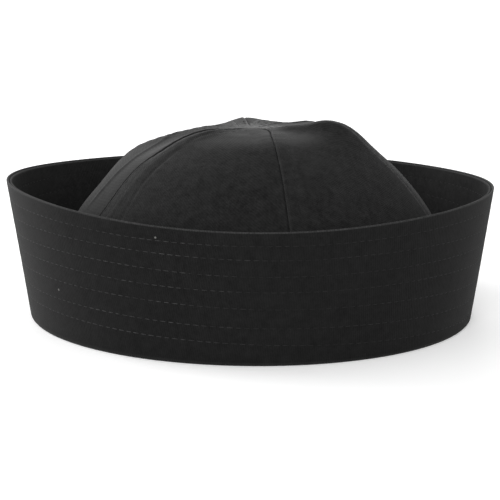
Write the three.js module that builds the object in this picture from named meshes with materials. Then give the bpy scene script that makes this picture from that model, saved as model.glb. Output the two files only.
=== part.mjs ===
import * as THREE from 'three';

// A sailor cap of black cotton twill, in millimetres: a round crown of six gores inside a deep turned-up brim.
// It rests on z = 0 on the fold of the brim. Its front is towards -Y and its top towards +Z.

// Head opening, measured inside the facing
const openingWidth = 188.3;
const openingDepth = 185.3;

// Cloth
const cloth = 1.0; // thickness of one ply
const clearance = 0.3; // between two plies, and between two gores at a seam

// Crown
const crownHeight = 86.3;
const seamRidge = 1.9; // how far a seam stands out past the middle of a gore
const apexShiftX = 0.2; // the six seams meet a little off the middle
const apexShiftY = -3.9;

// Brim
const brimHeight = 58.4; // mean height of the rim over the base
const brimFlare = 9.5; // how far the rim stands out past the base
const baseShiftX = 0.7; // the base and the crown stand a little to the right of the rim's middle
const facingHeight = 12; // strip turned up inside the opening
const foldRadius = 1.2; // outside corners of the fold that the hat rests on

// Mesh steps
const goreColumns = 11;
const rowsPerSection = 2;
const facingRows = 3;

// Side view of the crown: reach is a share of the base's radius, rise is a share of the crown's height.
const crownProfile = [
  { reach: 1.0, rise: 0.0 },
  { reach: 0.976, rise: 0.12 },
  { reach: 0.937, rise: 0.26 },
  { reach: 0.883, rise: 0.41 },
  { reach: 0.819, rise: 0.55 },
  { reach: 0.734, rise: 0.68 },
  { reach: 0.642, rise: 0.79 },
  { reach: 0.543, rise: 0.87 },
  { reach: 0.405, rise: 0.945 },
  { reach: 0.257, rise: 0.973 },
  { reach: 0.143, rise: 0.977 },
  { reach: 0.0, rise: 0.979 },
];

// Soft swells and dents of the crown: where each lies, how far it spreads, and its push as a share of the height.
const crownDents = [
  { place: 'right shoulder', angle: 0, reach: 0.42, angleSpread: 32, reachSpread: 0.13, push: 0.05 },
  { place: "right seam's crest", angle: -14, reach: 0.36, angleSpread: 9, reachSpread: 0.09, push: 0.023 },
  { place: 'upper left', angle: 180, reach: 0.4, angleSpread: 45, reachSpread: 0.16, push: -0.042 },
  { place: 'lower left', angle: 190, reach: 0.7, angleSpread: 45, reachSpread: 0.2, push: -0.031 },
  { place: 'crest behind the apex', angle: 95, reach: 0.16, angleSpread: 45, reachSpread: 0.07, push: 0.034 },
  { place: 'behind the crest', angle: 75, reach: 0.25, angleSpread: 40, reachSpread: 0.12, push: -0.02 },
  { place: "left seam's crest", angle: 207, reach: 0.3, angleSpread: 12, reachSpread: 0.17, push: 0.02 },
  { place: 'top left back', angle: 120, reach: 0.4, angleSpread: 30, reachSpread: 0.15, push: -0.036 },
];

// Each gore runs from its own seam, in degrees from +X, to the seam of the next one.
const gores = [
  { name: 'crown_gore_front_right', seamAngle: -77.6 },
  { name: 'crown_gore_right', seamAngle: -13.3 },
  { name: 'crown_gore_back_right', seamAngle: 46 },
  { name: 'crown_gore_back_left', seamAngle: 105.4 },
  { name: 'crown_gore_left', seamAngle: 159 },
  { name: 'crown_gore_front', seamAngle: 210.3 },
];

// The rim rises and falls around the hat: lobes is the number of waves, the rest are shares of the brim's height.
const rimWaves = [
  { lobes: 1, cosShare: -0.014, sinShare: -0.0425 },
  { lobes: 2, cosShare: 0.032, sinShare: 0.002 },
  { lobes: 3, cosShare: -0.0025, sinShare: -0.015 },
];

// Shares that shape the crown's surface
const dentFreeRun = 0.2; // height over the facing, as a share of the crown's, in which the dents fade in
const dentFreeTop = 0.12; // reach round the apex in which they fade out
const ridgeRun = 0.5; // reach in which the seams' ridges fade out towards the apex
const apexShiftRun = 0.3; // reach round the apex that moves with it
const rimRounding = 0.35; // share of the cloth that is rounded off at an edge

// Half widths of the layers at the base, from the head outwards
const crownInset = 2 * cloth + clearance; // from the opening to the crown's outer face
const stack = 4 * cloth + 3 * clearance; // from the opening to the brim's outer face
const crownHalfWidth = openingWidth / 2 + crownInset;
const crownHalfDepth = openingDepth / 2 + crownInset;
const brimHalfWidth = openingWidth / 2 + stack;
const brimHalfDepth = openingDepth / 2 + stack;
const seat = cloth + clearance; // height of the edges that stand in the fold
const apexRadius = 2.5 * clearance; // the gores' points stop short of the apex by this
const edgeRound = rimRounding * cloth;

const radians = (degrees) => THREE.MathUtils.degToRad(degrees);

function smoothRise(x) {
  return THREE.MathUtils.smoothstep(x, 0, 1);
}

// Smooth curve through the profile. It leaves the base straight and crosses the apex level.
function profileAt(along) {
  const last = crownProfile.length - 1;
  const first = crownProfile[0];
  const second = crownProfile[1];
  const beforeApex = crownProfile[last - 1];
  const rows = [
    { reach: 2 * first.reach - second.reach, rise: 2 * first.rise - second.rise },
    ...crownProfile,
    { reach: -beforeApex.reach, rise: beforeApex.rise },
  ];
  const place = along * last;
  const section = Math.min(Math.floor(place), last - 1);
  const t = place - section;
  const [a, b, c, d] = rows.slice(section, section + 4);
  const value = (key) =>
    0.5 *
    (2 * b[key] +
      (c[key] - a[key]) * t +
      (2 * a[key] - 5 * b[key] + 4 * c[key] - d[key]) * t * t +
      (3 * b[key] - 3 * c[key] + d[key] - a[key]) * t * t * t);
  const slope = (key) =>
    0.5 *
    (c[key] -
      a[key] +
      2 * (2 * a[key] - 5 * b[key] + 4 * c[key] - d[key]) * t +
      3 * (3 * b[key] - 3 * c[key] + d[key] - a[key]) * t * t);
  const outward = slope('rise') * (crownHeight - seat);
  const upward = (-slope('reach') * (crownHalfWidth + crownHalfDepth)) / 2;
  const length = Math.hypot(outward, upward);
  return {
    reach: value('reach'),
    height: seat + (crownHeight - seat) * value('rise'),
    normalOut: outward / length,
    normalUp: upward / length,
  };
}

// The place along the profile where a condition that holds at the base stops holding.
function alongWhere(holds) {
  let low = 0;
  let high = 1;
  for (let step = 0; step < 40; step += 1) {
    const middle = (low + high) / 2;
    if (holds(profileAt(middle))) low = middle;
    else high = middle;
  }
  return low;
}

// How far round its gore an angle lies, from 0 at one seam to 1 at the next.
function shareOfGore(angle) {
  const fromFirst = THREE.MathUtils.euclideanModulo(angle - gores[0].seamAngle, 360);
  const starts = [...gores.map((gore) => gore.seamAngle - gores[0].seamAngle), 360];
  const index = starts.findLastIndex((start, at) => start <= fromFirst && at < gores.length);
  return (fromFirst - starts[index]) / (starts[index + 1] - starts[index]);
}

// A point of the crown, at a depth under its outer face.
function crownPoint(angle, along, depth) {
  const { reach, height, normalOut, normalUp } = profileAt(along);
  let push = -seamRidge * (Math.sin(Math.PI * shareOfGore(angle)) - 0.5) * smoothRise(reach / ridgeRun);
  for (const dent of crownDents) {
    const turn = THREE.MathUtils.euclideanModulo(angle - dent.angle + 180, 360) - 180;
    const falloff = (turn / dent.angleSpread) ** 2 + ((reach - dent.reach) / dent.reachSpread) ** 2;
    push += dent.push * crownHeight * Math.exp(-falloff);
  }
  push *= smoothRise((height - facingHeight) / (dentFreeRun * crownHeight)) * smoothRise(reach / dentFreeTop);
  const shift = Math.exp(-((reach / apexShiftRun) ** 2));
  const out = (push - depth) * normalOut;
  return new THREE.Vector3(
    (crownHalfWidth * reach + out) * Math.cos(radians(angle)) + baseShiftX + apexShiftX * shift,
    (crownHalfDepth * reach + out) * Math.sin(radians(angle)) + apexShiftY * shift,
    height + (push - depth) * normalUp,
  );
}

function seamAfter(index) {
  return index + 1 < gores.length ? gores[index + 1].seamAngle : gores[0].seamAngle + 360;
}

// Height of the rim over the base at an angle.
function rimHeight(angle) {
  const turn = radians(angle);
  const wave = ({ lobes, cosShare, sinShare }) =>
    cosShare * Math.cos(lobes * turn) + sinShare * Math.sin(lobes * turn);
  return brimHeight * (1 + rimWaves.reduce((sum, row) => sum + wave(row), 0));
}

// A point of the brim, at a depth under its outer face and a height over the base.
function brimPoint(angle, depth, height) {
  const climb = height / rimHeight(angle);
  const out = brimFlare * climb - depth;
  return new THREE.Vector3(
    (brimHalfWidth + out) * Math.cos(radians(angle)) + baseShiftX * (1 - climb),
    (brimHalfDepth + out) * Math.sin(radians(angle)),
    height,
  );
}

// Index of the triangles between two rows of points, closed round where wrap is true.
function stitchRows(index, lower, upper, wrap) {
  const steps = wrap ? lower.length : lower.length - 1;
  for (let i = 0; i < steps; i += 1) {
    const next = (i + 1) % lower.length;
    index.push(lower[i], lower[next], upper[next], lower[i], upper[next], upper[i]);
  }
}

function geometryFrom(points, index) {
  const geometry = new THREE.BufferGeometry();
  geometry.setFromPoints(points);
  geometry.setIndex(index);
  geometry.computeVertexNormals();
  return geometry;
}

// A shell with an outer and an inner face, each a grid of rows from the base up, closed along its four edges.
function shellGeometry(outer, inner) {
  const points = [...outer.flat(), ...inner.flat()];
  const columns = outer[0].length;
  const rows = outer.length;
  const innerStart = rows * columns;
  const ids = (start, row) => Array.from({ length: columns }, (_, i) => start + row * columns + i);
  const index = [];
  for (let row = 0; row + 1 < rows; row += 1) {
    stitchRows(index, ids(0, row), ids(0, row + 1), false);
    stitchRows(index, ids(innerStart, row + 1), ids(innerStart, row), false);
  }
  stitchRows(index, ids(innerStart, 0), ids(0, 0), false);
  stitchRows(index, ids(0, rows - 1), ids(innerStart, rows - 1), false);
  const side = (start, column) => Array.from({ length: rows }, (_, row) => start + row * columns + column);
  stitchRows(index, side(0, 0), side(innerStart, 0), false);
  stitchRows(index, side(innerStart, columns - 1), side(0, columns - 1), false);
  return geometryFrom(points, index);
}

// A ring with the same closed section all the way round.
function ringGeometry(sections) {
  const points = sections.flat();
  const corners = sections[0].length;
  const index = [];
  for (let corner = 0; corner < corners; corner += 1) {
    const next = (corner + 1) % corners;
    const lower = sections.map((_, section) => section * corners + corner);
    const upper = sections.map((_, section) => section * corners + next);
    stitchRows(index, lower, upper, true);
  }
  return geometryFrom(points, index);
}

// One gore of the crown, a clearance away from its neighbours.
function goreGeometry(index) {
  const apexEnd = alongWhere(({ reach }) => reach * crownHalfDepth > apexRadius);
  const rows = (crownProfile.length - 1) * rowsPerSection;
  const face = (depth) =>
    Array.from({ length: rows + 1 }, (_, row) => {
      const along = (apexEnd * row) / rows;
      const inset = THREE.MathUtils.radToDeg(clearance / 2 / (profileAt(along).reach * crownHalfDepth));
      const from = gores[index].seamAngle + inset;
      const to = seamAfter(index) - inset;
      return Array.from({ length: goreColumns + 1 }, (_, column) => {
        const point = crownPoint(from + ((to - from) * column) / goreColumns, along, depth);
        return row === 0 ? point.setZ(seat) : point;
      });
    });
  return shellGeometry(face(0), face(cloth));
}

// The angles of the brim's sections, in line with the gores' columns.
const brimAngles = gores.flatMap(({ seamAngle }, index) =>
  Array.from({ length: goreColumns }, (_, column) => {
    return seamAngle + ((seamAfter(index) - seamAngle) * column) / goreColumns;
  }),
);

// The rounded upper edge of a ply whose outer face lies at a depth.
function rimEdge(angle, depth) {
  const top = rimHeight(angle);
  return [
    brimPoint(angle, depth, top - edgeRound),
    brimPoint(angle, depth + edgeRound, top),
    brimPoint(angle, depth + cloth - edgeRound, top),
    brimPoint(angle, depth + cloth, top - edgeRound),
  ];
}

// The outer ply: up the outside of the brim, and under the other layers to the facing inside the opening.
function outerPlySection(angle, facingEnd) {
  const quarter = foldRadius * (1 - Math.SQRT1_2);
  const facing = (row, depth) => crownPoint(angle, (facingEnd * row) / facingRows, depth);
  const facingFront = cloth + clearance;
  const facingBack = facingFront + cloth;
  const rising = Array.from({ length: facingRows }, (_, row) => facing(row + 1, facingFront));
  const falling = Array.from({ length: facingRows }, (_, row) => facing(facingRows - row, facingBack));
  const facingEdge = facing(facingRows, (facingFront + facingBack) / 2);
  facingEdge.z += edgeRound;
  const innerWall = (inset, height) => brimPoint(angle, stack - inset, 0).setZ(height);
  return [
    brimPoint(angle, foldRadius, 0),
    brimPoint(angle, quarter, quarter),
    brimPoint(angle, 0, foldRadius),
    brimPoint(angle, 0, rimHeight(angle) / 2),
    ...rimEdge(angle, 0),
    brimPoint(angle, cloth, rimHeight(angle) / 2),
    brimPoint(angle, cloth, cloth),
    facing(0, facingFront).setZ(cloth),
    ...rising,
    facingEdge,
    ...falling,
    innerWall(0, foldRadius),
    innerWall(quarter, quarter),
    innerWall(foldRadius, 0),
  ];
}

// The inner ply: it stands in the fold behind the outer one.
function innerPlySection(angle) {
  const depth = cloth + clearance;
  return [
    brimPoint(angle, depth, seat),
    brimPoint(angle, depth, rimHeight(angle) / 2),
    ...rimEdge(angle, depth),
    brimPoint(angle, depth + cloth, rimHeight(angle) / 2),
    brimPoint(angle, depth + cloth, seat),
  ];
}

function twill(color) {
  return new THREE.MeshStandardMaterial({ color, roughness: 0.9, metalness: 0 });
}

function namedMesh(name, geometry, material) {
  const mesh = new THREE.Mesh(geometry, material);
  mesh.name = name;
  return mesh;
}

const crownTwill = twill(0x202021);
const brimTwill = twill(0x19191a);
const liningTwill = twill(0x161617);

const crown = new THREE.Group();
gores.forEach(({ name }, index) => {
  crown.add(namedMesh(name, goreGeometry(index), crownTwill));
});

const facingEnd = alongWhere(({ height }) => height < facingHeight);
const brim = new THREE.Group();
brim.add(
  namedMesh('brim_outer_ply', ringGeometry(brimAngles.map((angle) => outerPlySection(angle, facingEnd))), brimTwill),
  namedMesh('brim_inner_ply', ringGeometry(brimAngles.map(innerPlySection)), liningTwill),
);

const sailorCap = new THREE.Group();
sailorCap.add(crown, brim);

export default sailorCap;
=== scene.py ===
import math

import bpy
import numpy as np
from mathutils import Euler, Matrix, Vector
from mathutils.bvhtree import BVHTree


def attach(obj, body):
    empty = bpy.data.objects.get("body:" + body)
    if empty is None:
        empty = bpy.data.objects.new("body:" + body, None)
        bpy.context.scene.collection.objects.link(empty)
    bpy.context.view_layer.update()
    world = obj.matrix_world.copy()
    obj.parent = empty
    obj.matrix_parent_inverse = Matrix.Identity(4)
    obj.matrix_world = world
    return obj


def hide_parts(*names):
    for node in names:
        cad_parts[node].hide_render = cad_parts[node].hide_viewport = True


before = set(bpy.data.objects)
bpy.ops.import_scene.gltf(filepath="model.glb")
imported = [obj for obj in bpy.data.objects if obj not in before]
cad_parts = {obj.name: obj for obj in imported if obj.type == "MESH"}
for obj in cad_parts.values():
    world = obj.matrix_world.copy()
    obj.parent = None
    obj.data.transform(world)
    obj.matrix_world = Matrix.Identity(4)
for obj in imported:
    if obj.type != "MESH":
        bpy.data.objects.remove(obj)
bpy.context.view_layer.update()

mm = 0.001  # the tables below are in millimetres, Blender works in metres

# The hat's form, with the same values as the solids. Angles are in degrees from +X, seen from above.
hatForm = {
    "openingWidth": 188.3,
    "openingDepth": 185.3,
    "cloth": 1.0,
    "clearance": 0.3,
    "crownHeight": 86.3,
    "seamRidge": 1.9,
    "apexShift": (0.2, -3.9),
    "brimHeight": 58.4,
    "brimFlare": 9.5,
    "baseShift": 0.7,  # the base and the crown stand this far to the right of the rim's middle
    "facingHeight": 12.0,
    "foldRadius": 1.2,
    "dentFreeRun": 0.2,
    "dentFreeTop": 0.12,
    "ridgeRun": 0.5,
    "apexShiftRun": 0.3,
}

# Side view of the crown: reach is a share of the base's radius, rise a share of the height.
crownProfile = [
    {"reach": 1.0, "rise": 0.0},
    {"reach": 0.976, "rise": 0.12},
    {"reach": 0.937, "rise": 0.26},
    {"reach": 0.883, "rise": 0.41},
    {"reach": 0.819, "rise": 0.55},
    {"reach": 0.734, "rise": 0.68},
    {"reach": 0.642, "rise": 0.79},
    {"reach": 0.543, "rise": 0.87},
    {"reach": 0.405, "rise": 0.945},
    {"reach": 0.257, "rise": 0.973},
    {"reach": 0.143, "rise": 0.977},
    {"reach": 0.0, "rise": 0.979},
]

# Soft swells and dents of the crown; push is a share of the height.
crownDents = [
    {"angle": 0, "reach": 0.42, "angleSpread": 32, "reachSpread": 0.13, "push": 0.05},
    {"angle": -14, "reach": 0.36, "angleSpread": 9, "reachSpread": 0.09, "push": 0.023},
    {"angle": 180, "reach": 0.4, "angleSpread": 45, "reachSpread": 0.16, "push": -0.042},
    {"angle": 190, "reach": 0.7, "angleSpread": 45, "reachSpread": 0.2, "push": -0.031},
    {"angle": 95, "reach": 0.16, "angleSpread": 45, "reachSpread": 0.07, "push": 0.034},
    {"angle": 75, "reach": 0.25, "angleSpread": 40, "reachSpread": 0.12, "push": -0.02},
    {"angle": 207, "reach": 0.3, "angleSpread": 12, "reachSpread": 0.17, "push": 0.02},
    {"angle": 120, "reach": 0.4, "angleSpread": 30, "reachSpread": 0.15, "push": -0.036},
]

# Each gore runs from its own seam to the next one's. At that seam, in mm: groove is how deep the cloth before
# it dips, welt is the height of the turned-in cloth and pucker is how far the thread draws it. wear is how
# rubbed the seam is, and the value after it is a painted highlight on the welt, where the light from behind
# catches it. bend is how the sewn line leaves its meridian: reaches and degrees.
plainSeam = {"welt": 0.2, "pucker": 0.08, "wear": 0.15, "weltHighlight": 0.0, "bend": ((0.0, 0.0), (1.0, 0.0))}
gores = [
    {**plainSeam, "node": "crown_gore_front_right", "seam": -77.6, "groove": 0.9, "welt": 0.08, "pucker": 0.04,
     "wear": 0.05, "bend": (
        (0.03, 50.0), (0.06, 45.0), (0.09, 36.5), (0.12, 27.5), (0.15, 20.5), (0.18, 15.2), (0.21, 11.3),
        (0.24, 8.4), (0.28, 5.8), (0.33, 3.8), (0.38, 2.5), (0.44, 1.5), (0.52, 0.7), (0.6, 0.2), (0.7, -0.2),
        (0.8, -0.3))},
    {**plainSeam, "node": "crown_gore_right", "seam": -13.3, "groove": 0.25, "welt": 0.06, "pucker": 0.03,
     "wear": 0.35, "bend": (
        (0.2, 0.0), (0.26, -0.8), (0.32, -2.0), (0.38, -2.8), (0.46, -3.0), (0.56, -2.6), (0.66, -1.8),
        (0.76, -0.7), (0.86, 0.0))},
    {**plainSeam, "node": "crown_gore_back_right", "seam": 46.0, "groove": 0.4},
    {**plainSeam, "node": "crown_gore_back_left", "seam": 105.4, "groove": 0.7},
    {**plainSeam, "node": "crown_gore_left", "seam": 159.0, "groove": 0.4},
    # the front gore's welt, along the seam on the left, gets a painted highlight
    {**plainSeam, "node": "crown_gore_front", "seam": 210.3, "groove": 1.1, "welt": 0.1, "pucker": 0.05,
     "wear": 0.03, "weltHighlight": 0.06},
]

# Soft folds beside the seams, each along a line of reaches and degrees. push and width are in mm.
crownFolds = [
    {"push": -0.65, "width": 1.1, "fade": 0.12, "line": (
        (0.13, 211.2), (0.3, 211.3), (0.42, 211.0), (0.6, 210.9))},
    {"push": 0.35, "width": 2.4, "fade": 0.12, "line": (
        (0.13, 217.5), (0.3, 218.3), (0.42, 217.2), (0.5, 216.4), (0.66, 216.0))},
    {"push": 1.3, "width": 5.0, "fade": 0.1, "line": (
        (0.08, -14.0), (0.2, -14.0), (0.3, -15.0), (0.4, -16.0))},
    {"push": -0.3, "width": 0.7, "fade": 0.1, "line": (
        (0.16, 220.0), (0.37, 220.4), (0.45, 221.3), (0.52, 222.0), (0.69, 221.6), (0.86, 222.0))},
    {"push": 0.55, "width": 2.2, "fade": 0.1, "line": (
        (0.33, 158.0), (0.42, 166.0), (0.46, 175.0), (0.53, 185.0), (0.6, 191.0), (0.68, 191.0),
        (0.82, 192.0))},
    {"push": -0.35, "width": 0.8, "fade": 0.1, "line": (
        (0.15, 268.0), (0.234, 270.2), (0.5, 276.8), (0.66, 278.0), (0.86, 277.8))},
    {"push": -0.45, "width": 2.4, "fade": 0.1, "line": (
        (0.12, 272.0), (0.234, 274.5), (0.5, 279.4), (0.66, 280.0), (0.86, 279.8))},
]

# The rim rises and falls round the hat: shares of the brim's height.
rimWaves = [
    {"lobes": 1, "cosShare": -0.014, "sinShare": -0.0425},
    {"lobes": 2, "cosShare": 0.032, "sinShare": 0.002},
    {"lobes": 3, "cosShare": -0.0025, "sinShare": -0.015},
]

# Rows of stitching on the brim, from the rim down, as shares of its height on the hat's left, front and right.
stitchRows = [
    {"left": 0.12, "front": 0.105, "right": 0.12},
    {"left": 0.24, "front": 0.205, "right": 0.27},
    {"left": 0.355, "front": 0.325, "right": 0.39},
    {"left": 0.465, "front": 0.44, "right": 0.51},
    {"left": 0.58, "front": 0.565, "right": 0.66},
    {"left": 0.7, "front": 0.71, "right": 0.79},
    {"left": 0.8, "front": 0.835, "right": 0.92},
]

cloth, clearance = hatForm["cloth"], hatForm["clearance"]
stack = 4 * cloth + 3 * clearance  # from the opening to the brim's outer face
crownHalf = [hatForm[side] / 2 + 2 * cloth + clearance for side in ("openingWidth", "openingDepth")]
brimHalf = [hatForm[side] / 2 + stack for side in ("openingWidth", "openingDepth")]
crownMean, brimMean = sum(crownHalf) / 2, sum(brimHalf) / 2
seat = cloth + clearance


def smoothRise(x):
    x = np.clip(x, 0, 1)
    return x * x * (3 - 2 * x)


def hump(away, width):
    return np.exp(-((away / width) ** 2))


def softNoise(points, wavelength, seed):
    # a smooth field between about -1 and 1, a sum of plane waves with fixed directions
    rng = np.random.default_rng(seed)
    total = np.zeros(points.shape[:-1])
    waves = 9
    for _ in range(waves):
        direction = rng.normal(size=3)
        direction *= 2 * np.pi / (wavelength * rng.uniform(0.7, 1.5) * np.linalg.norm(direction))
        total += np.sin(points @ direction + rng.uniform(0, 2 * np.pi))
    return total / math.sqrt(waves)


def profileAt(along):
    # a smooth curve through the profile, level at the apex
    rows = np.array([[row["reach"], row["rise"]] for row in crownProfile])
    rows = np.vstack([2 * rows[0] - rows[1], rows, rows[-2] * [-1, 1]])
    last = len(crownProfile) - 1
    place = np.asarray(along, float) * last
    section = np.minimum(place.astype(int), last - 1)
    t = (place - section)[..., None]
    a, b, c, d = (rows[section + step] for step in range(4))
    value = 0.5 * (2 * b + (c - a) * t + (2 * a - 5 * b + 4 * c - d) * t**2 + (3 * b - 3 * c + d - a) * t**3)
    slope = 0.5 * (c - a + 2 * (2 * a - 5 * b + 4 * c - d) * t + 3 * (3 * b - 3 * c + d - a) * t**2)
    outward = slope[..., 1] * (hatForm["crownHeight"] - seat)
    upward = -slope[..., 0] * crownMean
    length = np.hypot(outward, upward)
    height = seat + (hatForm["crownHeight"] - seat) * value[..., 1]
    return value[..., 0], height, outward / length, upward / length


def seamAt(index, reach):
    # the angle of a seam; the index after the last gore's is the first seam, one turn on
    turns, place = divmod(index, len(gores))
    reaches, degrees = zip(*gores[place]["bend"])
    return gores[place]["seam"] + 360 * turns + np.interp(reach, reaches, degrees)


def shareOfGore(angle, reach):
    # how far round its gore an angle lies, from 0 at one seam to 1 at the next
    share = np.zeros(angle.shape)
    for index in range(len(gores)):
        start, width = seamAt(index, reach), seamAt(index + 1, reach) - seamAt(index, reach)
        fromStart = (angle - start) % 360
        share = np.where(fromStart < width, fromStart / width, share)
    return share


def foldRelief(angle, reach):
    total = np.zeros(angle.shape)
    for fold in crownFolds:
        reaches, degrees = zip(*fold["line"])
        turn = (angle - np.interp(reach, reaches, degrees) + 180) % 360 - 180
        bent = hump(np.radians(turn) * reach * crownMean, fold["width"])
        ends = [smoothRise(inside / fold["fade"]) for inside in (reach - reaches[0], reaches[-1] - reach)]
        total = total + fold["push"] * bent * (ends[0] * ends[1])
    return total


def crownPoint(angle, along, depth=0.0):
    angle, along = np.broadcast_arrays(np.asarray(angle, float), np.asarray(along, float))
    reach, height, normalOut, normalUp = profileAt(along)
    share = shareOfGore(angle, reach)
    push = -hatForm["seamRidge"] * (np.sin(np.pi * share) - 0.5) * smoothRise(reach / hatForm["ridgeRun"])
    for dent in crownDents:
        turn = (angle - dent["angle"] + 180) % 360 - 180
        falloff = (turn / dent["angleSpread"]) ** 2 + ((reach - dent["reach"]) / dent["reachSpread"]) ** 2
        push = push + dent["push"] * hatForm["crownHeight"] * np.exp(-falloff)
    freeRun = hatForm["dentFreeRun"] * hatForm["crownHeight"]
    push = push * smoothRise((height - hatForm["facingHeight"]) / freeRun)
    push = push * smoothRise(reach / hatForm["dentFreeTop"])
    shift = hump(reach, hatForm["apexShiftRun"])
    out = (push - depth) * normalOut
    turn = np.radians(angle)
    return np.stack([
        (crownHalf[0] * reach + out) * np.cos(turn) + hatForm["baseShift"] + hatForm["apexShift"][0] * shift,
        (crownHalf[1] * reach + out) * np.sin(turn) + hatForm["apexShift"][1] * shift,
        height + (push - depth) * normalUp,
    ], axis=-1)


def rimHeight(angle):
    turn = np.radians(angle)
    total = 1.0
    for wave in rimWaves:
        turned = wave["lobes"] * turn
        total = total + wave["cosShare"] * np.cos(turned) + wave["sinShare"] * np.sin(turned)
    return hatForm["brimHeight"] * total


def brimPoint(angle, depth, height):
    turn = np.radians(angle)
    climb = height / rimHeight(angle)
    out = hatForm["brimFlare"] * climb - depth
    across = (brimHalf[0] + out) * np.cos(turn) + hatForm["baseShift"] * (1 - climb)
    return np.stack([across, (brimHalf[1] + out) * np.sin(turn), height], axis=-1)


# Mesh and node helpers

def setAttribute(mesh, label, values):
    mesh.attributes.new(label, "FLOAT", "POINT").data.foreach_set("value", np.asarray(values, np.float32))


def setGrain(mesh, uv):
    mesh.uv_layers.new(name="grain").data.foreach_set("uv", uv.astype(np.float32).ravel())


def linkObject(name, data):
    piece = bpy.data.objects.new(name, data)
    bpy.context.scene.collection.objects.link(piece)
    return piece


def setInputs(tree, node, inputs):
    # a node given as a value stands for its first output
    for key, value in inputs.items():
        if isinstance(value, bpy.types.Node):
            value = value.outputs[0]
        if isinstance(value, bpy.types.NodeSocket):
            tree.links.new(value, node.inputs[key])
        else:
            node.inputs[key].default_value = value


signs = {"*": "MULTIPLY", "*+": "MULTIPLY_ADD", "-": "SUBTRACT", "/": "DIVIDE"}


def nodesOf(tree):
    # the functions that add a node and a calculation to this tree
    def add(kind, inputs=None, **settings):
        node = tree.nodes.new(kind)
        for key, value in settings.items():
            setattr(node, key, value)
        setInputs(tree, node, inputs or {})
        return node

    def calc(operation, *values):
        return add("ShaderNodeMath", dict(enumerate(values)), operation=signs.get(operation, operation))

    return add, calc


def newTree(name, kind, inputs, outputs):
    # an input is given by the kind of its socket, or by the number that it starts from
    tree = bpy.data.node_groups.new(name, kind)
    for label, value in inputs.items():
        socketKind = value if isinstance(value, str) else {int: "Int", float: "Float"}[type(value)]
        socket = tree.interface.new_socket(name=label, in_out="INPUT", socket_type="NodeSocket" + socketKind)
        if socketKind != value:
            socket.default_value = value
    for label, socketKind in outputs.items():
        tree.interface.new_socket(name=label, in_out="OUTPUT", socket_type="NodeSocket" + socketKind)
    add, calc = nodesOf(tree)
    return tree, add("NodeGroupInput").outputs, add, calc


def newMaterial(name):
    material = bpy.data.materials.new(name)
    material.use_nodes = True
    tree = material.node_tree
    return material, tree, tree.nodes["Principled BSDF"], *nodesOf(tree)


def noiseAt(add, place, scale, detail, roughness=0.5):
    return add("ShaderNodeTexNoise", {
        "Vector": place, "Scale": scale, "Detail": detail, "Roughness": roughness})


def greyOf(add, value):
    return add("ShaderNodeCombineColor", {0: value, 1: value, 2: value})


def mixColors(add, share, first, second, blend="MIX"):
    mixed = add("ShaderNodeMix", {0: share, 6: first, 7: second}, data_type="RGBA", blend_type=blend)
    return mixed.outputs[2]


def bell(calc, place, middle, width):
    # 1 at the middle and falling off to both sides
    away = calc("/", calc("-", place, middle), width)
    return calc("EXPONENT", calc("*", calc("*", away, away), -1.0))


def runTree(name, mesh, tree, values):
    # runs a Geometry Nodes tree on a mesh and keeps the plain result
    piece = linkObject(name, mesh)
    modifier = piece.modifiers.new("build", "NODES")
    modifier.node_group = tree
    for item in tree.interface.items_tree:
        if item.in_out == "INPUT" and item.name in values:
            modifier[item.identifier] = values[item.name]
    depsgraph = bpy.context.evaluated_depsgraph_get()
    result = bpy.data.meshes.new_from_object(
        piece.evaluated_get(depsgraph), preserve_all_data_layers=True, depsgraph=depsgraph)
    piece.modifiers.remove(modifier)
    piece.data = result
    result.name = name
    return piece


# Camera, lights and floor

studio = {
    "distance": 1000.0,  # from the camera to the aim on the hat
    "elevation": 11.14,  # degrees above the floor, as in the photograph
    "stand": (0.7, 0.0, 45.0),  # point that the distance is measured from
    "aim": (0.06, 0.0, 28.1),  # point in the middle of the picture
    "roll": 0.5,
    "lens": 160.4,
    "worldStrength": 0.82,
    "floorTone": 0.95,
    "floorGlow": 0.2,  # the floor is a lit sheet, so that the shadow on it stays faint
    "skyStrength": 0.9,
    "skySpread": 28.0,  # degrees
    "skyTurn": (-70.0, -10.0, 0.0),  # degrees, from straight down: low from behind and the left
    "softLights": [{"place": (-1.0, 0.45, 0.34), "power": 10.5}, {"place": (-0.25, -1.6, 0.5), "power": 12.5}],
    "softSize": 0.8,
    "softAim": (0, 0, 0.04),
    "floorReach": 8.0,
}


def placeCamera(look):
    elevation = math.radians(look["elevation"])
    place = Vector(look["stand"]) + look["distance"] * Vector((0, -math.cos(elevation), math.sin(elevation)))
    camera = linkObject("camera", bpy.data.cameras.new("camera"))
    camera.location = place * mm
    camera.rotation_mode = "QUATERNION"
    gaze = (Vector(look["aim"]) - place).to_track_quat("-Z", "Y")
    camera.rotation_quaternion = gaze @ Euler((0, 0, math.radians(look["roll"]))).to_quaternion()
    camera.data.lens = look["lens"]
    camera.data.clip_start, camera.data.clip_end = 0.05, 30
    bpy.context.scene.camera = camera


def softLight(name, place, target, size, power):
    light = linkObject(name, bpy.data.lights.new(name, "AREA"))
    light.location = place
    light.rotation_mode = "QUATERNION"
    light.rotation_quaternion = (Vector(target) - Vector(place)).to_track_quat("-Z", "Y")
    light.data.shape = "DISK"
    light.data.size = size
    light.data.energy = power


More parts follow.
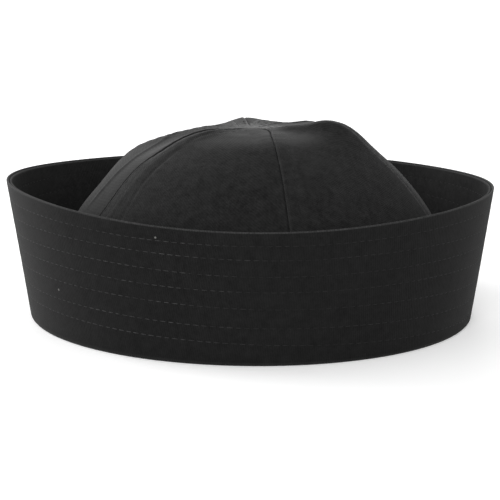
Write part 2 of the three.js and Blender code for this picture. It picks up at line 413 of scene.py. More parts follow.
def buildStudio(look):
    world = bpy.data.worlds.new("studio")
    world.use_nodes = True
    background = world.node_tree.nodes["Background"]
    background.inputs["Color"].default_value = (1, 1, 1, 1)
    background.inputs["Strength"].default_value = look["worldStrength"]
    bpy.context.scene.world = world
    bpy.context.scene.view_settings.view_transform = "Standard"
    sky = linkObject("skyLight", bpy.data.lights.new("skyLight", "SUN"))
    sky.data.energy = look["skyStrength"]
    sky.data.angle = math.radians(look["skySpread"])
    sky.rotation_euler = [math.radians(angle) for angle in look["skyTurn"]]
    for number, light in enumerate(look["softLights"]):
        softLight(f"softLight{number}", light["place"], look["softAim"], look["softSize"], light["power"])
    floorMesh = bpy.data.meshes.new("studio_floor")
    far = look["floorReach"]
    floorMesh.from_pydata([(-far, -far, 0), (far, -far, 0), (far, far, 0), (-far, far, 0)], [], [(0, 1, 2, 3)])
    floor = linkObject("studio_floor", floorMesh)
    paint, tree, shader, _, _ = newMaterial("studio_white")
    setInputs(tree, shader, {
        "Base Color": (look["floorTone"],) * 3 + (1,), "Roughness": 0.9, "Specular IOR Level": 0.1,
        "Emission Color": (1, 1, 1, 1), "Emission Strength": look["floorGlow"]})
    floorMesh.materials.append(paint)


placeCamera(studio)
buildStudio(studio)
print("studio ready")

# Cloth materials

def weaveGroup():
    # a twill: raised wales that lean across the grain, broken into yarns
    tree, given, add, calc = newTree("twillWeave", "ShaderNodeTree", {
        "Vector": "Vector", "Pitch": 0.7, "Lean": 1.0, "Slub": 0.5}, {"Height": "Float", "Yarn": "Float"})
    place = add("ShaderNodeSeparateXYZ", {0: given["Vector"]}).outputs
    perPitch = calc("/", 1000.0, given["Pitch"])
    cosine, sine = calc("COSINE", given["Lean"]), calc("SINE", given["Lean"])
    across = calc("*+", place["X"], cosine, calc("*", place["Y"], sine))
    down = calc("*", place["Y"], cosine)
    down = calc("-", down, calc("*", place["X"], sine))
    slub = noiseAt(add, given["Vector"], 260.0, 2.0)
    across = calc("*+", across, perPitch, calc("*", slub, given["Slub"]))
    down = calc("*", down, calc("*", perPitch, 0.45))
    wale = calc("SINE", calc("*", across, 2 * math.pi))
    yarn = calc("*+", across, 0.5, down)
    yarn = calc("SINE", calc("*", yarn, 2 * math.pi))
    height = calc("*+", wale, 0.4, 0.5)
    height = calc("*+", calc("*", wale, yarn), 0.12, height)
    height = calc("*+", yarn, 0.08, height)
    add("NodeGroupOutput", {"Height": height, "Yarn": calc("*+", yarn, 0.5, 0.5)})
    return tree


wearAndHighlightLook = {
    "broadScale": 38.0,  # uneven dye
    "mottleScale": 260.0,
    "fineScale": 900.0,  # breaks up the rubbed edges and the painted highlights
    "lintScale": 62.0,
    "lintFrom": 0.6,  # cells above this share hold a speck
    "lintSize": 0.03,
    "lintColor": (0.2, 0.2, 0.19, 1),
}


def wearAndHighlightGroup(look):
    # uneven dye, rubbed edges and painted highlights along the edge mark, and a few specks of lint
    tree, given, add, calc = newTree("clothWearAndHighlight", "ShaderNodeTree", {
        "Color": "Color", "Rubbed": "Color", "Edge": 0.0, "Edge Amount": 0.5, "Dye": 0.3, "Mottle": 0.5,
        "Lint": 0.5}, {"Color": "Color", "Mask": "Float"})
    place = add("ShaderNodeTexCoord").outputs["Object"]
    broad = noiseAt(add, place, look["broadScale"], 3.0)
    fine = noiseAt(add, place, look["fineScale"], 2.0)
    mottle = noiseAt(add, place, look["mottleScale"], 3.0, 0.9)
    shade = calc("*+", calc("-", broad, 0.5), given["Dye"], 1.0)
    shade = calc("*+", calc("-", mottle, 0.5), given["Mottle"], shade)
    dyed = mixColors(add, 1.0, given["Color"], greyOf(add, shade), "MULTIPLY")
    rough = calc("*", given["Edge"], calc("*", fine, given["Edge Amount"]))
    lightened = mixColors(add, rough, dyed, given["Rubbed"])
    cells = add("ShaderNodeTexVoronoi", {"Vector": place, "Scale": look["lintScale"], "Randomness": 1.0})
    pick = add("ShaderNodeSeparateColor", {0: cells.outputs["Color"]})
    chosen = calc("GREATER_THAN", pick, look["lintFrom"])
    near = calc("LESS_THAN", cells, look["lintSize"])
    speck = calc("*", calc("*", near, chosen), given["Lint"])
    add("NodeGroupOutput", {"Color": mixColors(add, speck, lightened, look["lintColor"]), "Mask": rough})
    return tree


weave, wear = weaveGroup(), wearAndHighlightGroup(wearAndHighlightLook)

crownCloth = {
    "name": "crown_twill",
    "color": 0.0122,
    # the tone that the edge mark lightens the cloth towards: rubbed cloth, and painted highlights on the
    # crown's top, the welt and the rim
    "rubbedAndHighlight": 0.26,
    "pitch": 1.05,  # of the wales, in mm
    "lean": 0.9,  # radians from the grain
    "slub": 1.3,
    "bump": 0.25,
    "valleyShade": 0.3,  # painted shade: how much darker the weave is between its wales
    "edge": 1.0,
    "dye": 0.3,
    "mottle": 2.3,
    "lint": 0.35,
    "sheen": 0.04,
    "gloss": 0.09,
    "roughness": 0.82,
}
brimCloth = {
    **crownCloth, "name": "brim_twill", "color": 0.0076, "rubbedAndHighlight": 0.065, "pitch": 0.95, "lean": 0.12,
    "slub": 0.8, "bump": 0.3, "edge": 0.65, "mottle": 1.4, "lint": 0.5, "sheen": 0.035, "gloss": 0.065,
}
# the lining's colour is lighter than the outer ply's, painted light against the shade inside the hat
liningCloth = {
    **brimCloth, "name": "brim_lining_twill", "color": 0.0138, "valleyShade": 0.4, "lint": 0.3, "sheen": 0.02,
    "gloss": 0.05, "roughness": 0.85,
}
# Painted highlight: the thread is lighter on a stretch in front, left of the middle; its strength adds to
# farSide there.
outsideThread = {
    "name": "black_thread",
    "color": 0.027,
    "farSide": 0.42,
    "highlight": 1.45,
    "highlightPlace": -0.042,
    "highlightWidth": 0.032,
    # tone of the thread on the back half of the hat, a painted shade
    "behind": 0.9,
    "patchScale": 70.0,
    "patchContrast": 4.0,
    "patchLevel": -1.2,
    "leastTone": 0.3,
    "twist": 900.0,
    "gloss": 0.15,
    "roughness": 0.7,
}
# the inside rows get a deeper painted shade on the back half
insideThread = {**outsideThread, "name": "black_thread_inside", "behind": 0.3}


def twillMaterial(look):
    material, tree, shader, add, calc = newMaterial(look["name"])
    grain = add("ShaderNodeUVMap", uv_map="grain")
    woven = add("ShaderNodeGroup", {
        "Vector": grain, "Pitch": look["pitch"], "Lean": look["lean"], "Slub": look["slub"]}, node_tree=weave)
    lightened = add("ShaderNodeGroup", {
        "Edge": add("ShaderNodeAttribute", attribute_name="edge").outputs["Fac"],
        "Color": (look["color"],) * 3 + (1,), "Rubbed": (look["rubbedAndHighlight"],) * 3 + (1,),
        "Edge Amount": look["edge"], "Dye": look["dye"], "Mottle": look["mottle"],
        "Lint": look["lint"]}, node_tree=wear)
    # painted shade between the wales
    valleyShade = calc("*+", woven.outputs["Height"], look["valleyShade"], 1 - look["valleyShade"] / 2)
    color = mixColors(add, 1.0, lightened.outputs["Color"], greyOf(add, valleyShade), "MULTIPLY")
    bump = add("ShaderNodeBump", {
        "Height": woven.outputs["Height"], "Strength": look["bump"], "Distance": 0.0002})
    rough = calc("*+", woven.outputs["Yarn"], 0.08, look["roughness"])
    setInputs(tree, shader, {
        "Base Color": color, "Roughness": rough, "Normal": bump,
        "Specular IOR Level": look["gloss"], "Sheen Weight": look["sheen"], "Sheen Roughness": 0.45})
    return material


def threadMaterial(look):
    material, tree, shader, add, calc = newMaterial(look["name"])
    place = add("ShaderNodeTexCoord").outputs["Object"]
    twist = noiseAt(add, place, look["twist"], 1.0)
    patch = noiseAt(add, place, look["patchScale"], 4.0, 0.7)
    patch = calc("*+", patch, look["patchContrast"], look["patchLevel"])
    spot = add("ShaderNodeSeparateXYZ", {0: place}).outputs
    # painted highlight on a stretch in front, left of the middle
    near = bell(calc, spot["X"], look["highlightPlace"], look["highlightWidth"])
    lit = calc("*+", near, look["highlight"], look["farSide"])
    # painted shade: the thread darkens towards the back half of the hat
    behind = add("ShaderNodeMapRange", {0: spot["Y"], 1: -0.02, 2: 0.03})
    lit = calc("*+", calc("-", look["behind"], lit), behind, lit)
    patch = calc("MAXIMUM", calc("*", patch, lit), look["leastTone"])
    tone = calc("*", calc("*+", twist, 0.8, 0.2), patch)
    tone = calc("*", tone, look["color"])
    bump = add("ShaderNodeBump", {"Height": twist, "Strength": 0.4, "Distance": 0.0001})
    rough = calc("*+", twist, 0.2, look["roughness"])
    setInputs(tree, shader, {
        "Base Color": greyOf(add, tone), "Roughness": rough, "Normal": bump,
        "Specular IOR Level": look["gloss"], "Sheen Weight": 0.05})
    return material


crownMaterial, brimMaterial, liningMaterial = map(twillMaterial, (crownCloth, brimCloth, liningCloth))
outsideThreadMaterial, insideThreadMaterial = threadMaterial(outsideThread), threadMaterial(insideThread)
print("materials ready")

# The crown: six gores, each lapped over the one before it at its own seam and topstitched there

goreLook = {
    "rows": 130,
    "middleColumns": 70,
    "edgeSteps": (
        0, 0.12, 0.26, 0.42, 0.62, 0.9, 1.2, 1.5, 1.8, 2.2, 2.8, 3.6, 4.3, 4.8, 5.2, 5.6, 6.1, 6.8, 8.0, 9.6),
    "shareForEdges": 2.6,  # a gore narrower than this many edge zones has them drawn together
    "lip": 0.4,  # rounding of the lapping edge
    "lipDrop": 0.2,
    "weltWidth": 6.2,
    "weltFade": 1.6,
    "topstitches": (1.5, 5.2),  # from the seam to its rows of stitches
    "furrow": 0.08,
    "furrowWidth": 0.5,
    "lapRun": 1.2,
    "underLap": 1.4,
    "underSteps": (0.6, 1.0),
    "underRadius": 14.0,  # nearer to the apex the lap is narrower
    "tuck": 0.15,  # shallow valley beside the seam
    "tuckRun": 4.0,
    "puckerLength": 5.2,
    "puckerReach": 5.0,
    "puckerPhase": 1.7,  # from one seam to the next
    "puckerDrift": 1.3,
    "puckerDriftLength": 9.0,
    "undulation": 0.3,
    "undulationLength": 42.0,
    "seed": 7,
    "reliefRun": 15.0,  # height over which the relief begins, above the facing
    "allowance": 0.5,  # the seam's turned-in edge, seen inside the crown
    "allowanceBeyond": 0.8,
    "allowanceEdge": 0.5,
    "apexFade": 5.0,
    "lapWear": 0.7,  # widths of the rubbed lines along the lap and along the welt's far edge
    "weltWear": 1.2,
    "weltWearShare": 0.35,
    # painted highlight on the crown's top, round and behind the apex, where the light from behind grazes it
    "topHighlight": 0.75,
    "topHighlightReach": 14.0,
    "topHighlightLines": 0.9,  # the seams' own edges there get a stronger painted highlight
    "topHighlightFront": 3.5,  # how far in front of the apex the painted highlight begins, and over what distance
    "topHighlightFade": 5.0,
    "tipRadius": 0.05,
    "innerGrain": 37.0,  # shifts the weave of the inside against the outside's
}


def alongByRun(look):
    # places along the profile, evenly spaced over the cloth from the base to just short of the apex
    fine = np.linspace(0, 1, 4001)
    reach, height, _, _ = profileAt(fine)
    run = np.concatenate([[0], np.cumsum(np.hypot(np.diff(reach) * crownMean, np.diff(height)))])
    end = np.interp(-look["tipRadius"], -reach * crownMean, run)
    even = np.linspace(0, end, look["rows"])
    return np.interp(even, run, fine), even


def crownNormal(angle, along):
    step = 1e-3
    byAngle = crownPoint(angle + 0.2, along) - crownPoint(angle - 0.2, along)
    byAlong = crownPoint(angle, np.clip(along + step, 0, 1)) - crownPoint(angle, np.clip(along - step, 0, 1))
    normal = np.cross(byAngle, byAlong)
    return normal / np.maximum(np.linalg.norm(normal, axis=-1, keepdims=True), 1e-12)


def seamPucker(index, run, distance, look):
    gore = gores[index % len(gores)]
    phase = look["puckerPhase"] * index
    drift = look["puckerDrift"] * np.sin(run / look["puckerDriftLength"] + phase)
    wave = np.sin(2 * np.pi * run / look["puckerLength"] + phase + drift)
    return gore["pucker"] * wave * hump(distance, look["puckerReach"])


def buildGore(index, look):
    along, run = alongByRun(look)
    reach, _, _, _ = profileAt(along)
    radius = reach * crownMean
    start, end = seamAt(index, reach)[:, None], seamAt(index + 1, reach)[:, None]
    width = np.radians(end - start)[:, 0] * radius
    steps = np.array(look["edgeSteps"])
    shrink = np.minimum(1, width / (look["shareForEdges"] * steps[-1]))[:, None]
    lapShrink = np.minimum(1, radius / look["underRadius"])[:, None]
    fromStart = steps * shrink
    under = np.array(look["underSteps"]) * look["underLap"] * lapShrink
    perDegree = np.radians(1) * radius[:, None]
    left = start + fromStart / perDegree
    right = end - fromStart[:, ::-1] / perDegree
    share = np.linspace(0, 1, look["middleColumns"] + 2)[1:-1]
    middle = left[:, -1:] + (right[:, :1] - left[:, -1:]) * share
    angle = np.hstack([left, middle, right, end + under / perDegree])
    rowsAlong = np.broadcast_to(along[:, None], angle.shape)
    rowsRun = np.broadcast_to(run[:, None], angle.shape)
    dStart = (angle - start) * perDegree
    dEnd = (end - angle) * perDegree
    inside = np.clip(angle, start + 1e-6, end - 1e-6)  # the surface that the form's ridges are read from
    base = crownPoint(inside, rowsAlong)
    turn = np.radians(angle - inside)
    x, y, z = np.moveaxis(base, -1, 0)
    spun = np.stack([x * np.cos(turn) - y * np.sin(turn), x * np.sin(turn) + y * np.cos(turn), z], axis=-1)
    base = np.where(np.abs(turn)[..., None] > 1e-9, spun, base)
    normal = crownNormal(inside, rowsAlong)
    lip = 1 - hump(dStart, look["lip"])
    welt = smoothRise((look["weltWidth"] + look["weltFade"] - dStart) / look["weltFade"])
    over = gores[index]["welt"] * lip * welt - look["lipDrop"] * (1 - lip)
    for row in look["topstitches"]:
        over = over - look["furrow"] * hump(dStart - row, look["furrowWidth"])
    lapped = -gores[(index + 1) % len(gores)]["groove"] * (1 - smoothRise(dEnd / look["lapRun"]))
    lapped = lapped - look["tuck"] * hump(np.maximum(dEnd, 0), look["tuckRun"])
    centre = smoothRise((radius - 1.0) / look["apexFade"])[:, None]
    relief = (over + lapped) * centre
    pucker = seamPucker(index, rowsRun, dStart, look) + seamPucker(index + 1, rowsRun, dEnd, look)
    relief = relief + pucker * centre
    free = smoothRise((base[..., 2] - hatForm["facingHeight"]) / look["reliefRun"])
    relief = relief * free
    reachHere = np.broadcast_to(reach[:, None], angle.shape)
    soft = look["undulation"] * softNoise(base, look["undulationLength"], look["seed"])
    soft = (soft + foldRelief(angle, reachHere)) * free
    outer = base + normal * (relief + soft)[..., None]
    fold = smoothRise((look["weltWidth"] + look["allowanceBeyond"] - dStart) / look["allowanceEdge"])
    fold = look["allowance"] * fold * centre
    inner = base + normal * (np.minimum(relief, 0) + soft - cloth - fold * free)[..., None]
    outer[0, :, 2] = inner[0, :, 2] = seat
    rows, columns = angle.shape
    grid = np.arange(rows * columns).reshape(rows, columns)
    back = grid + rows * columns

    def stitch(lower, upper):
        return np.stack([lower[:-1], lower[1:], upper[1:], upper[:-1]], axis=-1).reshape(-1, 4)

    quads = [stitch(grid[row], grid[row + 1]) for row in range(rows - 1)]
    quads += [stitch(back[row + 1], back[row]) for row in range(rows - 1)]
    quads += [stitch(back[0], grid[0]), stitch(grid[-1], back[-1])]
    quads += [stitch(grid[:, 0], back[:, 0]), stitch(back[:, -1], grid[:, -1])]
    middleAngle = (start + end) / 2
    flat = np.stack([(angle - middleAngle) * perDegree, rowsRun], axis=-1).reshape(-1, 2)
    weltLine = hump(dStart - look["weltWidth"], look["weltWear"])
    edge = hump(dStart, look["lapWear"]) + look["weltWearShare"] * weltLine
    # painted highlight on the crown's top behind the apex, stronger on the seams' edges there
    behind = smoothRise((base[..., 1] - hatForm["apexShift"][1] + look["topHighlightFront"]) / look["topHighlightFade"])
    top = hump(radius, look["topHighlightReach"])[:, None] * behind
    edge = (gores[index]["wear"] + look["topHighlightLines"] * top) * edge * centre + look["topHighlight"] * top
    # painted highlight on the welt, for the gores that have one
    edge = np.clip(edge + gores[index]["weltHighlight"] * welt * centre, 0, 1).ravel()
    quads = np.concatenate(quads)
    name = gores[index]["node"] + "_cloth"
    mesh = bpy.data.meshes.new(name)
    mesh.from_pydata((np.concatenate([outer, inner]).reshape(-1, 3) * mm).tolist(), [], quads.tolist())
    setGrain(mesh, np.concatenate([flat, flat + look["innerGrain"]])[quads.ravel()] * mm)
    setAttribute(mesh, "edge", np.concatenate([edge, edge * 0]))
    mesh.shade_smooth()
    mesh.set_sharp_from_angle(angle=math.radians(60))
    mesh.materials.append(crownMaterial)
    piece = linkObject(name, mesh)
    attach(piece, "root")
    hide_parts(gores[index]["node"])
    return piece


gorePieces = [buildGore(index, goreLook) for index in range(len(gores))]
print("crown ready:", len(gorePieces), "gores")

# The brim: one section swept round the hat, with the relief that its rows of stitching draw in the cloth

brimLook = {
    "segments": 360,
    "puff": 0.03,  # how far the cloth stands out between two rows
    "furrow": 0.07,
    "furrowWidth": 0.45,
    "puffEnds": (-0.02, 1.06),  # the outermost rows of stitches puff up as if others lay there
    "flatRim": 2.5,  # the relief begins over these heights from the rim and from the fold
    "flatFold": 3.5,
    "rowSteps": (-2.2, -1.4, -0.95, -0.6, -0.3, 0, 0.3, 0.6, 0.95, 1.4, 2.2),
    "rimSteps": (0.7, 1.2),
    "foldSteps": (1.7, 2.4),
    "hiddenShares": (0.03, 0.97, 7),
    "foldWear": 0.25,
    "edgeRound": 0.45,
    "liningDrop": 0.5,  # the inner ply ends this far under the rim
    "waviness": 0.5,
    "waveScale": 17.0,
    "joinTurn": 97.0,  # the brim's own join, behind the crown
    "joinDepth": 0.45,
    "joinWidth": 0.5,
    "facingRow": 9.0,
    "facingRise": (4.0, 8.0),
    "facingFall": (11.0, 10.2, 9.7, 9.35, 9.0, 8.65, 8.3, 7.8, 6.5, 5.0, 3.5, 2.2),
    "facingFurrow": 0.3,
    "facingFurrowWidth": 0.5,
    "hemDrop": 0.4,  # the facing's upper edge is rounded: the rest of its faces end this far under it
    "hemRound": ((-0.3, 0.1), (0, 0.25), (0.3, 0.1)),
}


def rowShare(row):
    # the share in front, and how far it leaves that towards the right and towards both sides
    return row["front"], (row["right"] - row["left"]) / 2, (row["right"] + row["left"]) / 2 - row["front"]


def wallShares(look):
    # shares of the rim's height, counted down from the rim, closely spaced near each row of stitches
    high = hatForm["brimHeight"]
    centres = [row["front"] for row in stitchRows]
    shares = [centre + step / high for centre in centres for step in look["rowSteps"]]
    stops = [0] + centres + [1]
    shares += [(a + b) / 2 for a, b in zip(stops, stops[1:])]
    shares += [step / high for step in look["rimSteps"]] + [1 - step / high for step in look["foldSteps"]]
    low, top = hatForm["foldRadius"] / high, look["edgeRound"] / high
    return np.unique(np.round([share for share in shares if top < share < 1 - low], 5))


def wallRelief(share, look):
    high = hatForm["brimHeight"]
    centres = np.array([row["front"] for row in stitchRows])
    stops = np.insert(look["puffEnds"], 1, centres)
    index = np.clip(np.searchsorted(stops, share) - 1, 0, len(stops) - 2)
    phase = (share - stops[index]) / (stops[index + 1] - stops[index])
    relief = look["puff"] * np.sin(np.pi * phase) ** 2
    for centre in centres:
        relief = relief - look["furrow"] * hump((share - centre) * high, look["furrowWidth"])
    ends = smoothRise(share * high / look["flatRim"]) * smoothRise((1 - share) * high / look["flatFold"])
    return relief * ends


def rowDrift(share):
    centres, drifts, sags = zip(*(rowShare(row) for row in stitchRows))
    return [np.interp(share, (0, *centres, 1), (0, *values, 0)) for values in (drifts, sags)]


def sectionRow(offset, fixed=0.0, rimShare=0.0, drift=0.0, sag=0.0, flare=0.0, edge=0.0, side=0.0):
    return {"offset": offset, "fixed": fixed, "rimShare": rimShare, "drift": drift, "sag": sag, "flare": flare,
            "edge": edge, "side": side}


def wallRows(depth, look, side, reverse):
    # one face of a wall, from the base up or from the rim down
    shares = wallShares(look)[:: 1 if reverse else -1]
    relief = wallRelief(shares, look)
    return [
        sectionRow(side * bump - depth, rimShare=1 - share, drift=drift, sag=sag, flare=1.0, side=side)
        for share, bump, drift, sag in zip(shares, relief, *rowDrift(shares))
    ]


def hiddenRows(depth, look, reverse):
    shares = np.linspace(*look["hiddenShares"])[:: 1 if reverse else -1]
    return [sectionRow(-depth, rimShare=1 - share, flare=1.0) for share in shares]


def roundOver(depth, drop, look):
    # the rim's rounded edge, from the outer side of a ply over to its inner side; its edge mark lightens it,
    # as rubbed cloth and as a painted highlight of the light from above
    radius = look["edgeRound"]
    rows = []
    for quarter, centre in ((0, depth + radius), (1, depth + cloth - radius)):
        for step in range(5):
            turn = (quarter + step / 4) * math.pi / 2
            rows.append(sectionRow(-centre + radius * math.cos(turn), radius * math.sin(turn) - radius - drop,
                                   rimShare=1.0, flare=1.0, edge=1.0))
    return rows


def facingRow(height, depth):
    # a point of the facing, which leans inwards with the crown in front of it
    fine = np.linspace(0, 0.3, 400)
    reach, heights, out, up = profileAt(fine)
    along = np.interp(height, heights - depth * up, fine)
    reach, _, out, up = profileAt(along)
    return float(crownMean * reach - depth * out - brimMean)


def outerSection(look):
    radius = hatForm["foldRadius"]
    corner = [(math.sin(t), 1 - math.cos(t)) for t in np.linspace(0, math.pi / 2, 7)]
    lightened = look["foldWear"]
    rows = [sectionRow(-radius + radius * a, radius * b, flare=1.0, edge=lightened) for a, b in corner]
    rows += wallRows(0, look, 1.0, False) + roundOver(0, 0, look) + hiddenRows(cloth, look, True)
    rows += [sectionRow(-cloth, cloth), sectionRow(cloth - stack, cloth)]
    front, back = cloth + clearance, 2 * cloth + clearance
    top = hatForm["facingHeight"]
    under = top - look["hemDrop"]
    rows += [sectionRow(facingRow(z, front), z) for z in (*look["facingRise"], under)]
    rows += [sectionRow(facingRow(top, (front + back) / 2 + push), top + lift, edge=1.0)
             for push, lift in look["hemRound"]]
    for z in (under, *look["facingFall"]):
        furrow = look["facingFurrow"] * hump(z - look["facingRow"], look["facingFurrowWidth"])
        rows.append(sectionRow(facingRow(z, back) + furrow, z))
    rows += [sectionRow(-stack + radius - radius * a, radius * b, edge=lightened) for a, b in corner[::-1]]
    return rows


def liningSection(look):
    depth = cloth + clearance
    rows = [sectionRow(-depth, seat)] + hiddenRows(depth, look, False)
    rows += roundOver(depth, look["liningDrop"], look) + wallRows(depth + cloth, look, -1.0, True)
    rows += [sectionRow(-depth - cloth, seat)]
    return rows


def sectionMesh(name, rows):
    count = len(rows)
    mesh = bpy.data.meshes.new(name)
    points = [
        (row["offset"] * mm, 0, (row["fixed"] + row["rimShare"] * hatForm["brimHeight"]) * mm) for row in rows]
    mesh.from_pydata(points, [(i, (i + 1) % count) for i in range(count)], [])
    for label in rows[0]:
        setAttribute(mesh, label, [row[label] * (mm if label in ("offset", "fixed") else 1) for row in rows])
    around = np.linalg.norm(np.diff(np.array(points), axis=0), axis=1)
    setAttribute(mesh, "run", np.concatenate([[0], np.cumsum(around)]))
    return mesh


def brimTree():
    lobes = [(f"Lobe {wave['lobes']} {part}", wave[key], wave["lobes"], operation) for wave in rimWaves
             for part, key, operation in (("Cosine", "cosShare", "COSINE"), ("Sine", "sinShare", "SINE"))]
    sizes = ("Half Width", "Half Depth", "Rim Height", "Flare", "Waviness", "Wave Scale", "Join Turn",
             "Join Depth", "Join Width", "Base Shift")
    tree, given, add, calc = newTree("brimSweep", "GeometryNodeTree", {
        "Geometry": "Geometry", "Segments": 360, "Material": "Material", **{label: 0.0 for label in sizes},
        **{label: value for label, value, _, _ in lobes}}, {"Geometry": "Geometry"})
    section = add("GeometryNodeMeshToCurve", {"Mesh": given["Geometry"]})
    circle = add("GeometryNodeCurvePrimitiveCircle", {"Resolution": given["Segments"], "Radius": 1.0})
    index = add("GeometryNodeInputIndex")
    turnHere = calc("/", calc("*", index, 2 * math.pi), given["Segments"])
    path = add("GeometryNodeStoreNamedAttribute", {
        "Geometry": circle, "Name": "turn", "Value": turnHere},
        data_type="FLOAT", domain="POINT")
    swept = add("GeometryNodeCurveToMesh", {"Curve": path, "Profile Curve": section})

    def read(label):
        return add("GeometryNodeInputNamedAttribute", {"Name": label}, data_type="FLOAT")

    turn, side = read("turn"), read("side")
    cosine, sine = calc("COSINE", turn), calc("SINE", turn)
    rise = 1.0
    for label, _, count, operation in lobes:
        wave = calc(operation, calc("*", turn, float(count)))
        rise = calc("*+", wave, given[label], rise)
    high = calc("*", rise, given["Rim Height"])
    share = calc("-", read("rimShare"), calc("*", read("drift"), cosine))
    share = calc("-", share, calc("*", read("sag"), calc("POWER", cosine, 4.0)))
    z = calc("*+", share, high, read("fixed"))
    climb = calc("/", z, high)
    out = calc("*+", calc("*", climb, given["Flare"]), read("flare"), read("offset"))
    where = add("ShaderNodeCombineXYZ", {
        0: calc("*", cosine, given["Half Width"]),
        1: calc("*", sine, given["Half Width"]), 2: z})
    noise = noiseAt(add, where, given["Wave Scale"], 1.0)
    wave = calc("*", calc("-", noise, 0.5), given["Waviness"])
    out = calc("*+", calc("*", wave, climb), read("flare"), out)
    width = calc("/", given["Join Width"], given["Half Width"])
    dip = bell(calc, turn, given["Join Turn"], width)
    dip = calc("*", calc("*", dip, given["Join Depth"]), side)
    out = calc("-", out, dip)
    shift = calc("*", calc("-", 1.0, climb), given["Base Shift"])
    place = add("ShaderNodeCombineXYZ", {
        0: calc("*+", cosine, calc("ADD", given["Half Width"], out), shift),
        1: calc("*", sine, calc("ADD", given["Half Depth"], out)), 2: z})
    shaped = add("GeometryNodeSetPosition", {"Geometry": swept, "Position": place})
    smooth = add("GeometryNodeSetShadeSmooth", {"Geometry": shaped})
    real = add("GeometryNodeRealizeInstances", {"Geometry": smooth})
    painted = add("GeometryNodeSetMaterial", {"Geometry": real, "Material": given["Material"]})
    add("NodeGroupOutput", {"Geometry": painted})
    return tree


def attributeOf(mesh, label):
    values = np.zeros(len(mesh.vertices), np.float32)
    mesh.attributes[label].data.foreach_get("value", values)
    return values


def layGrain(mesh):
    # unrolls the swept cloth: across is round the hat, up is along the section
    loops = np.zeros(len(mesh.loops), np.int32)
    mesh.loops.foreach_get("vertex_index", loops)
    corners = loops.reshape(-1, 4)
    turn, run = attributeOf(mesh, "turn")[corners], attributeOf(mesh, "run")[corners]
    turn = np.where((turn.max(1, keepdims=True) - turn > math.pi), turn + 2 * math.pi, turn)
    whole = run.max()
    run = np.where((run.max(1, keepdims=True) - run > whole / 2), run + whole, run)
    setGrain(mesh, np.stack([turn * brimMean * mm, run], axis=-1))


def outwards(mesh, outerPoint):
    # turns the mesh's faces over if they point inwards near a place on its outer side
    nearest = min(mesh.polygons, key=lambda face: (face.center - outerPoint).length)
    if nearest.normal.dot(Vector((outerPoint.x, outerPoint.y, 0))) < 0:
        mesh.flip_normals()


sweep = brimTree()


def buildPly(name, rows, material, node, probe, look):
    # probe: depth under the brim's outer face of a place just outside the ply
    values = {
        "Segments": look["segments"], "Material": material, "Half Width": brimHalf[0] * mm,
        "Half Depth": brimHalf[1] * mm, "Rim Height": hatForm["brimHeight"] * mm,
        "Flare": hatForm["brimFlare"] * mm, "Waviness": 2 * look["waviness"] * mm,
        "Wave Scale": look["waveScale"], "Join Turn": math.radians(look["joinTurn"]),
        "Join Depth": look["joinDepth"] * mm, "Join Width": look["joinWidth"] * mm,
        "Base Shift": hatForm["baseShift"] * mm,
    }
    piece = runTree(name, sectionMesh(name, rows), sweep, values)
    layGrain(piece.data)
    outwards(piece.data, Vector(brimPoint(0.0, probe, 30.0)) * mm)
    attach(piece, "root")
    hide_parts(node)
    return piece


outerPly = buildPly(
    "brim_outer_cloth", outerSection(brimLook), brimMaterial, "brim_outer_ply", -1.0, brimLook)
liningPly = buildPly(
    "brim_inner_cloth", liningSection(brimLook), liningMaterial, "brim_inner_ply", 0.5,
    brimLook)
print("brim ready:", len(outerPly.data.polygons) + len(liningPly.data.polygons), "faces")

# Stitches: each row is a line laid on the finished cloth, and the tree sets one stitch after another along it

stitchLook = {
    "pitch": 3.55,
    "length": 2.9,
    "width": 0.42,
    "height": 0.34,
    "sink": 0.06,
    "points": 240,
    "seed": 3,
    "wander": [{"push": 0.35, "lobes": 3, "phase": 1.0}, {"push": 0.2, "lobes": 7, "phase": 2.1}],
    "wanderUp": 0.35,
    "brimStart": 6.0,  # the rays that find the cloth start this far off it
    "facingStart": 12.0,
    "crownStart": 4.0,
    "crownInsideStart": 6.0,
    "rayReach": 20.0,
    "crownFrom": 2.0,  # the crown's rows run from this far above the facing up to this radius
    "crownTo": 7.0,
    "crownPitch": 3.1,
    "crownLength": 2.5,
}


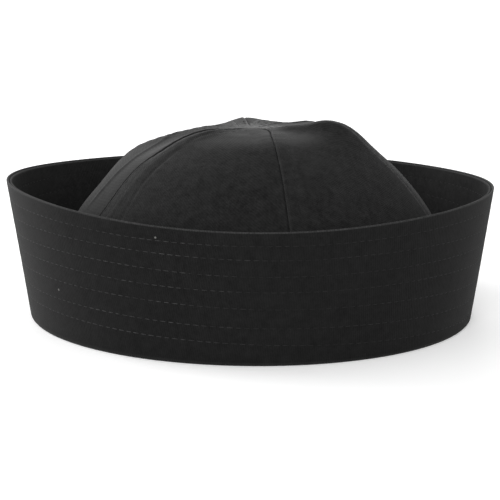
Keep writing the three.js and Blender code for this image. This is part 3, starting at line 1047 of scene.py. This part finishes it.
def stitchTree():
    tree, given, add, _ = newTree("stitchRow", "GeometryNodeTree", {
        "Geometry": "Geometry", "Pitch": 0.0035, "Length": 0.003, "Width": 0.0004, "Height": 0.0003, "Seed": 3,
        "Material": "Material"}, {"Geometry": "Geometry"})
    line = add("GeometryNodeMeshToCurve", {"Mesh": given["Geometry"]})
    spaced = add("GeometryNodeResampleCurve", {"Curve": line, "Length": given["Pitch"]}, mode="LENGTH")
    tangent = add("GeometryNodeInputTangent")
    lift = add("GeometryNodeInputNamedAttribute", {"Name": "lift"}, data_type="FLOAT_VECTOR")
    along = add("FunctionNodeAlignRotationToVector", {"Vector": tangent}, axis="X")
    upright = add("FunctionNodeAlignRotationToVector", {
        "Rotation": along, "Vector": lift}, axis="Z", pivot_axis="X")
    ball = add("GeometryNodeMeshUVSphere", {"Segments": 6, "Rings": 4, "Radius": 0.5})
    lying = add("GeometryNodeTransform", {"Geometry": ball, "Rotation": (0, math.pi / 2, 0)})
    size = add("ShaderNodeCombineXYZ", {0: given["Length"], 1: given["Width"], 2: given["Height"]})
    stitch = add("GeometryNodeTransform", {"Geometry": lying, "Scale": size})
    vary = add("FunctionNodeRandomValue", {
        "Min": (0.86, 0.9, 0.9), "Max": (1.08, 1.1, 1.1), "Seed": given["Seed"]}, data_type="FLOAT_VECTOR")
    placed = add("GeometryNodeInstanceOnPoints", {
        "Points": spaced, "Instance": stitch, "Rotation": upright,
        "Scale": vary})
    real = add("GeometryNodeRealizeInstances", {"Geometry": placed})
    smooth = add("GeometryNodeSetShadeSmooth", {"Geometry": real})
    painted = add("GeometryNodeSetMaterial", {
        "Geometry": smooth, "Material": given["Material"]})
    add("NodeGroupOutput", {"Geometry": painted})
    return tree


def layLine(clothTree, starts, directions, look, closed):
    # where rays meet the cloth: points, edges between them and the way out of the cloth
    points, lifts = [], []
    for start, direction in zip(starts, directions):
        place, normal, _, _ = clothTree.ray_cast(Vector(start * mm), Vector(direction), look["rayReach"] * mm)
        if place is None:
            continue
        facing = normal if normal.dot(Vector(direction)) < 0 else -normal
        points.append(place - facing * look["sink"] * mm)
        lifts.append(facing)
    edges = [(i, i + 1) for i in range(len(points) - 1)]
    if closed:
        edges.append((len(points) - 1, 0))
    return points, edges, lifts


def stitchPiece(name, lines, slotName, material, pitch, length, look):
    points, edges, lifts = [], [], []
    for linePoints, lineEdges, lineLifts in lines:
        first = len(points)
        points += linePoints
        edges += [(a + first, b + first) for a, b in lineEdges]
        lifts += lineLifts
    mesh = bpy.data.meshes.new(name)
    mesh.from_pydata(points, edges, [])
    lift = mesh.attributes.new("lift", "FLOAT_VECTOR", "POINT")
    lift.data.foreach_set("vector", np.array(lifts, np.float32).ravel())
    piece = runTree(name, mesh, rowTree, {
        "Pitch": pitch * mm, "Length": length * mm, "Width": look["width"] * mm, "Height": look["height"] * mm,
        "Seed": look["seed"], "Material": material})
    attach(piece, "root")
    return piece


def rayTree(piece):
    return BVHTree.FromObject(piece, bpy.context.evaluated_depsgraph_get())


def ringTurns(look):
    turn = np.radians(np.linspace(0, 360, look["points"], endpoint=False))
    return turn, np.stack([np.cos(turn), np.sin(turn), 0 * turn], axis=-1)


def brimLines(clothTree, look, outside):
    lines = []
    turn, radial = ringTurns(look)
    angle = np.degrees(turn)
    for number, row in enumerate(stitchRows):
        middle, drift, sag = rowShare(row)
        height = rimHeight(angle) * (1 - middle - drift * np.cos(turn) - sag * np.cos(turn) ** 4)
        shift = sum(
            wave["push"] * np.sin(wave["lobes"] * turn + wave["phase"] * number) for wave in look["wander"])
        spot = brimPoint(angle, 0 if outside else 2 * cloth + clearance, height + look["wanderUp"] * shift)
        away = radial if outside else -radial
        lines.append(layLine(clothTree, spot + away * look["brimStart"], -away, look, True))
    return lines


def facingLines(look):
    _, radial = ringTurns(look)
    inwards = np.array([crownHalf[0], crownHalf[1], 0]) - look["facingStart"]
    spot = radial * inwards + [hatForm["baseShift"], 0, 0]
    spot[:, 2] = brimLook["facingRow"]
    return [layLine(rayTree(outerPly), spot, radial, look, True)]


def crownLines(look, outside):
    along, _ = alongByRun(goreLook)
    reach, height, _, _ = profileAt(along)
    radius = reach * crownMean
    keep = (height > hatForm["facingHeight"] + look["crownFrom"]) & (radius > look["crownTo"])
    along, radius, reach = along[keep], radius[keep], reach[keep]
    lines = []
    for index in range(len(gores)):
        for run in goreLook["topstitches"]:
            angle = seamAt(index, reach) + np.degrees(run / radius)
            spot, normal = crownPoint(angle, along), crownNormal(angle, along)
            start = spot + normal * (look["crownStart"] if outside else -look["crownInsideStart"])
            lines.append(layLine(goreTrees[index], start, -normal if outside else normal, look, False))
    return lines


rowTree = stitchTree()
goreTrees = [rayTree(piece) for piece in gorePieces]
onBrim = stitchLook["pitch"], stitchLook["length"], stitchLook
onCrown = stitchLook["crownPitch"], stitchLook["crownLength"], stitchLook
stitchPiece("brim_stitches_outside", brimLines(rayTree(outerPly), stitchLook, True), "brim_twill",
            outsideThreadMaterial, *onBrim)
stitchPiece("brim_stitches_inside", brimLines(rayTree(liningPly), stitchLook, False), "brim_lining_twill",
            insideThreadMaterial, *onBrim)
stitchPiece("facing_stitches", facingLines(stitchLook), "brim_twill", outsideThreadMaterial, *onBrim)
stitchPiece("crown_topstitches", crownLines(stitchLook, True) + crownLines(stitchLook, False), "crown_twill",
            outsideThreadMaterial, *onCrown)
print("stitches ready")
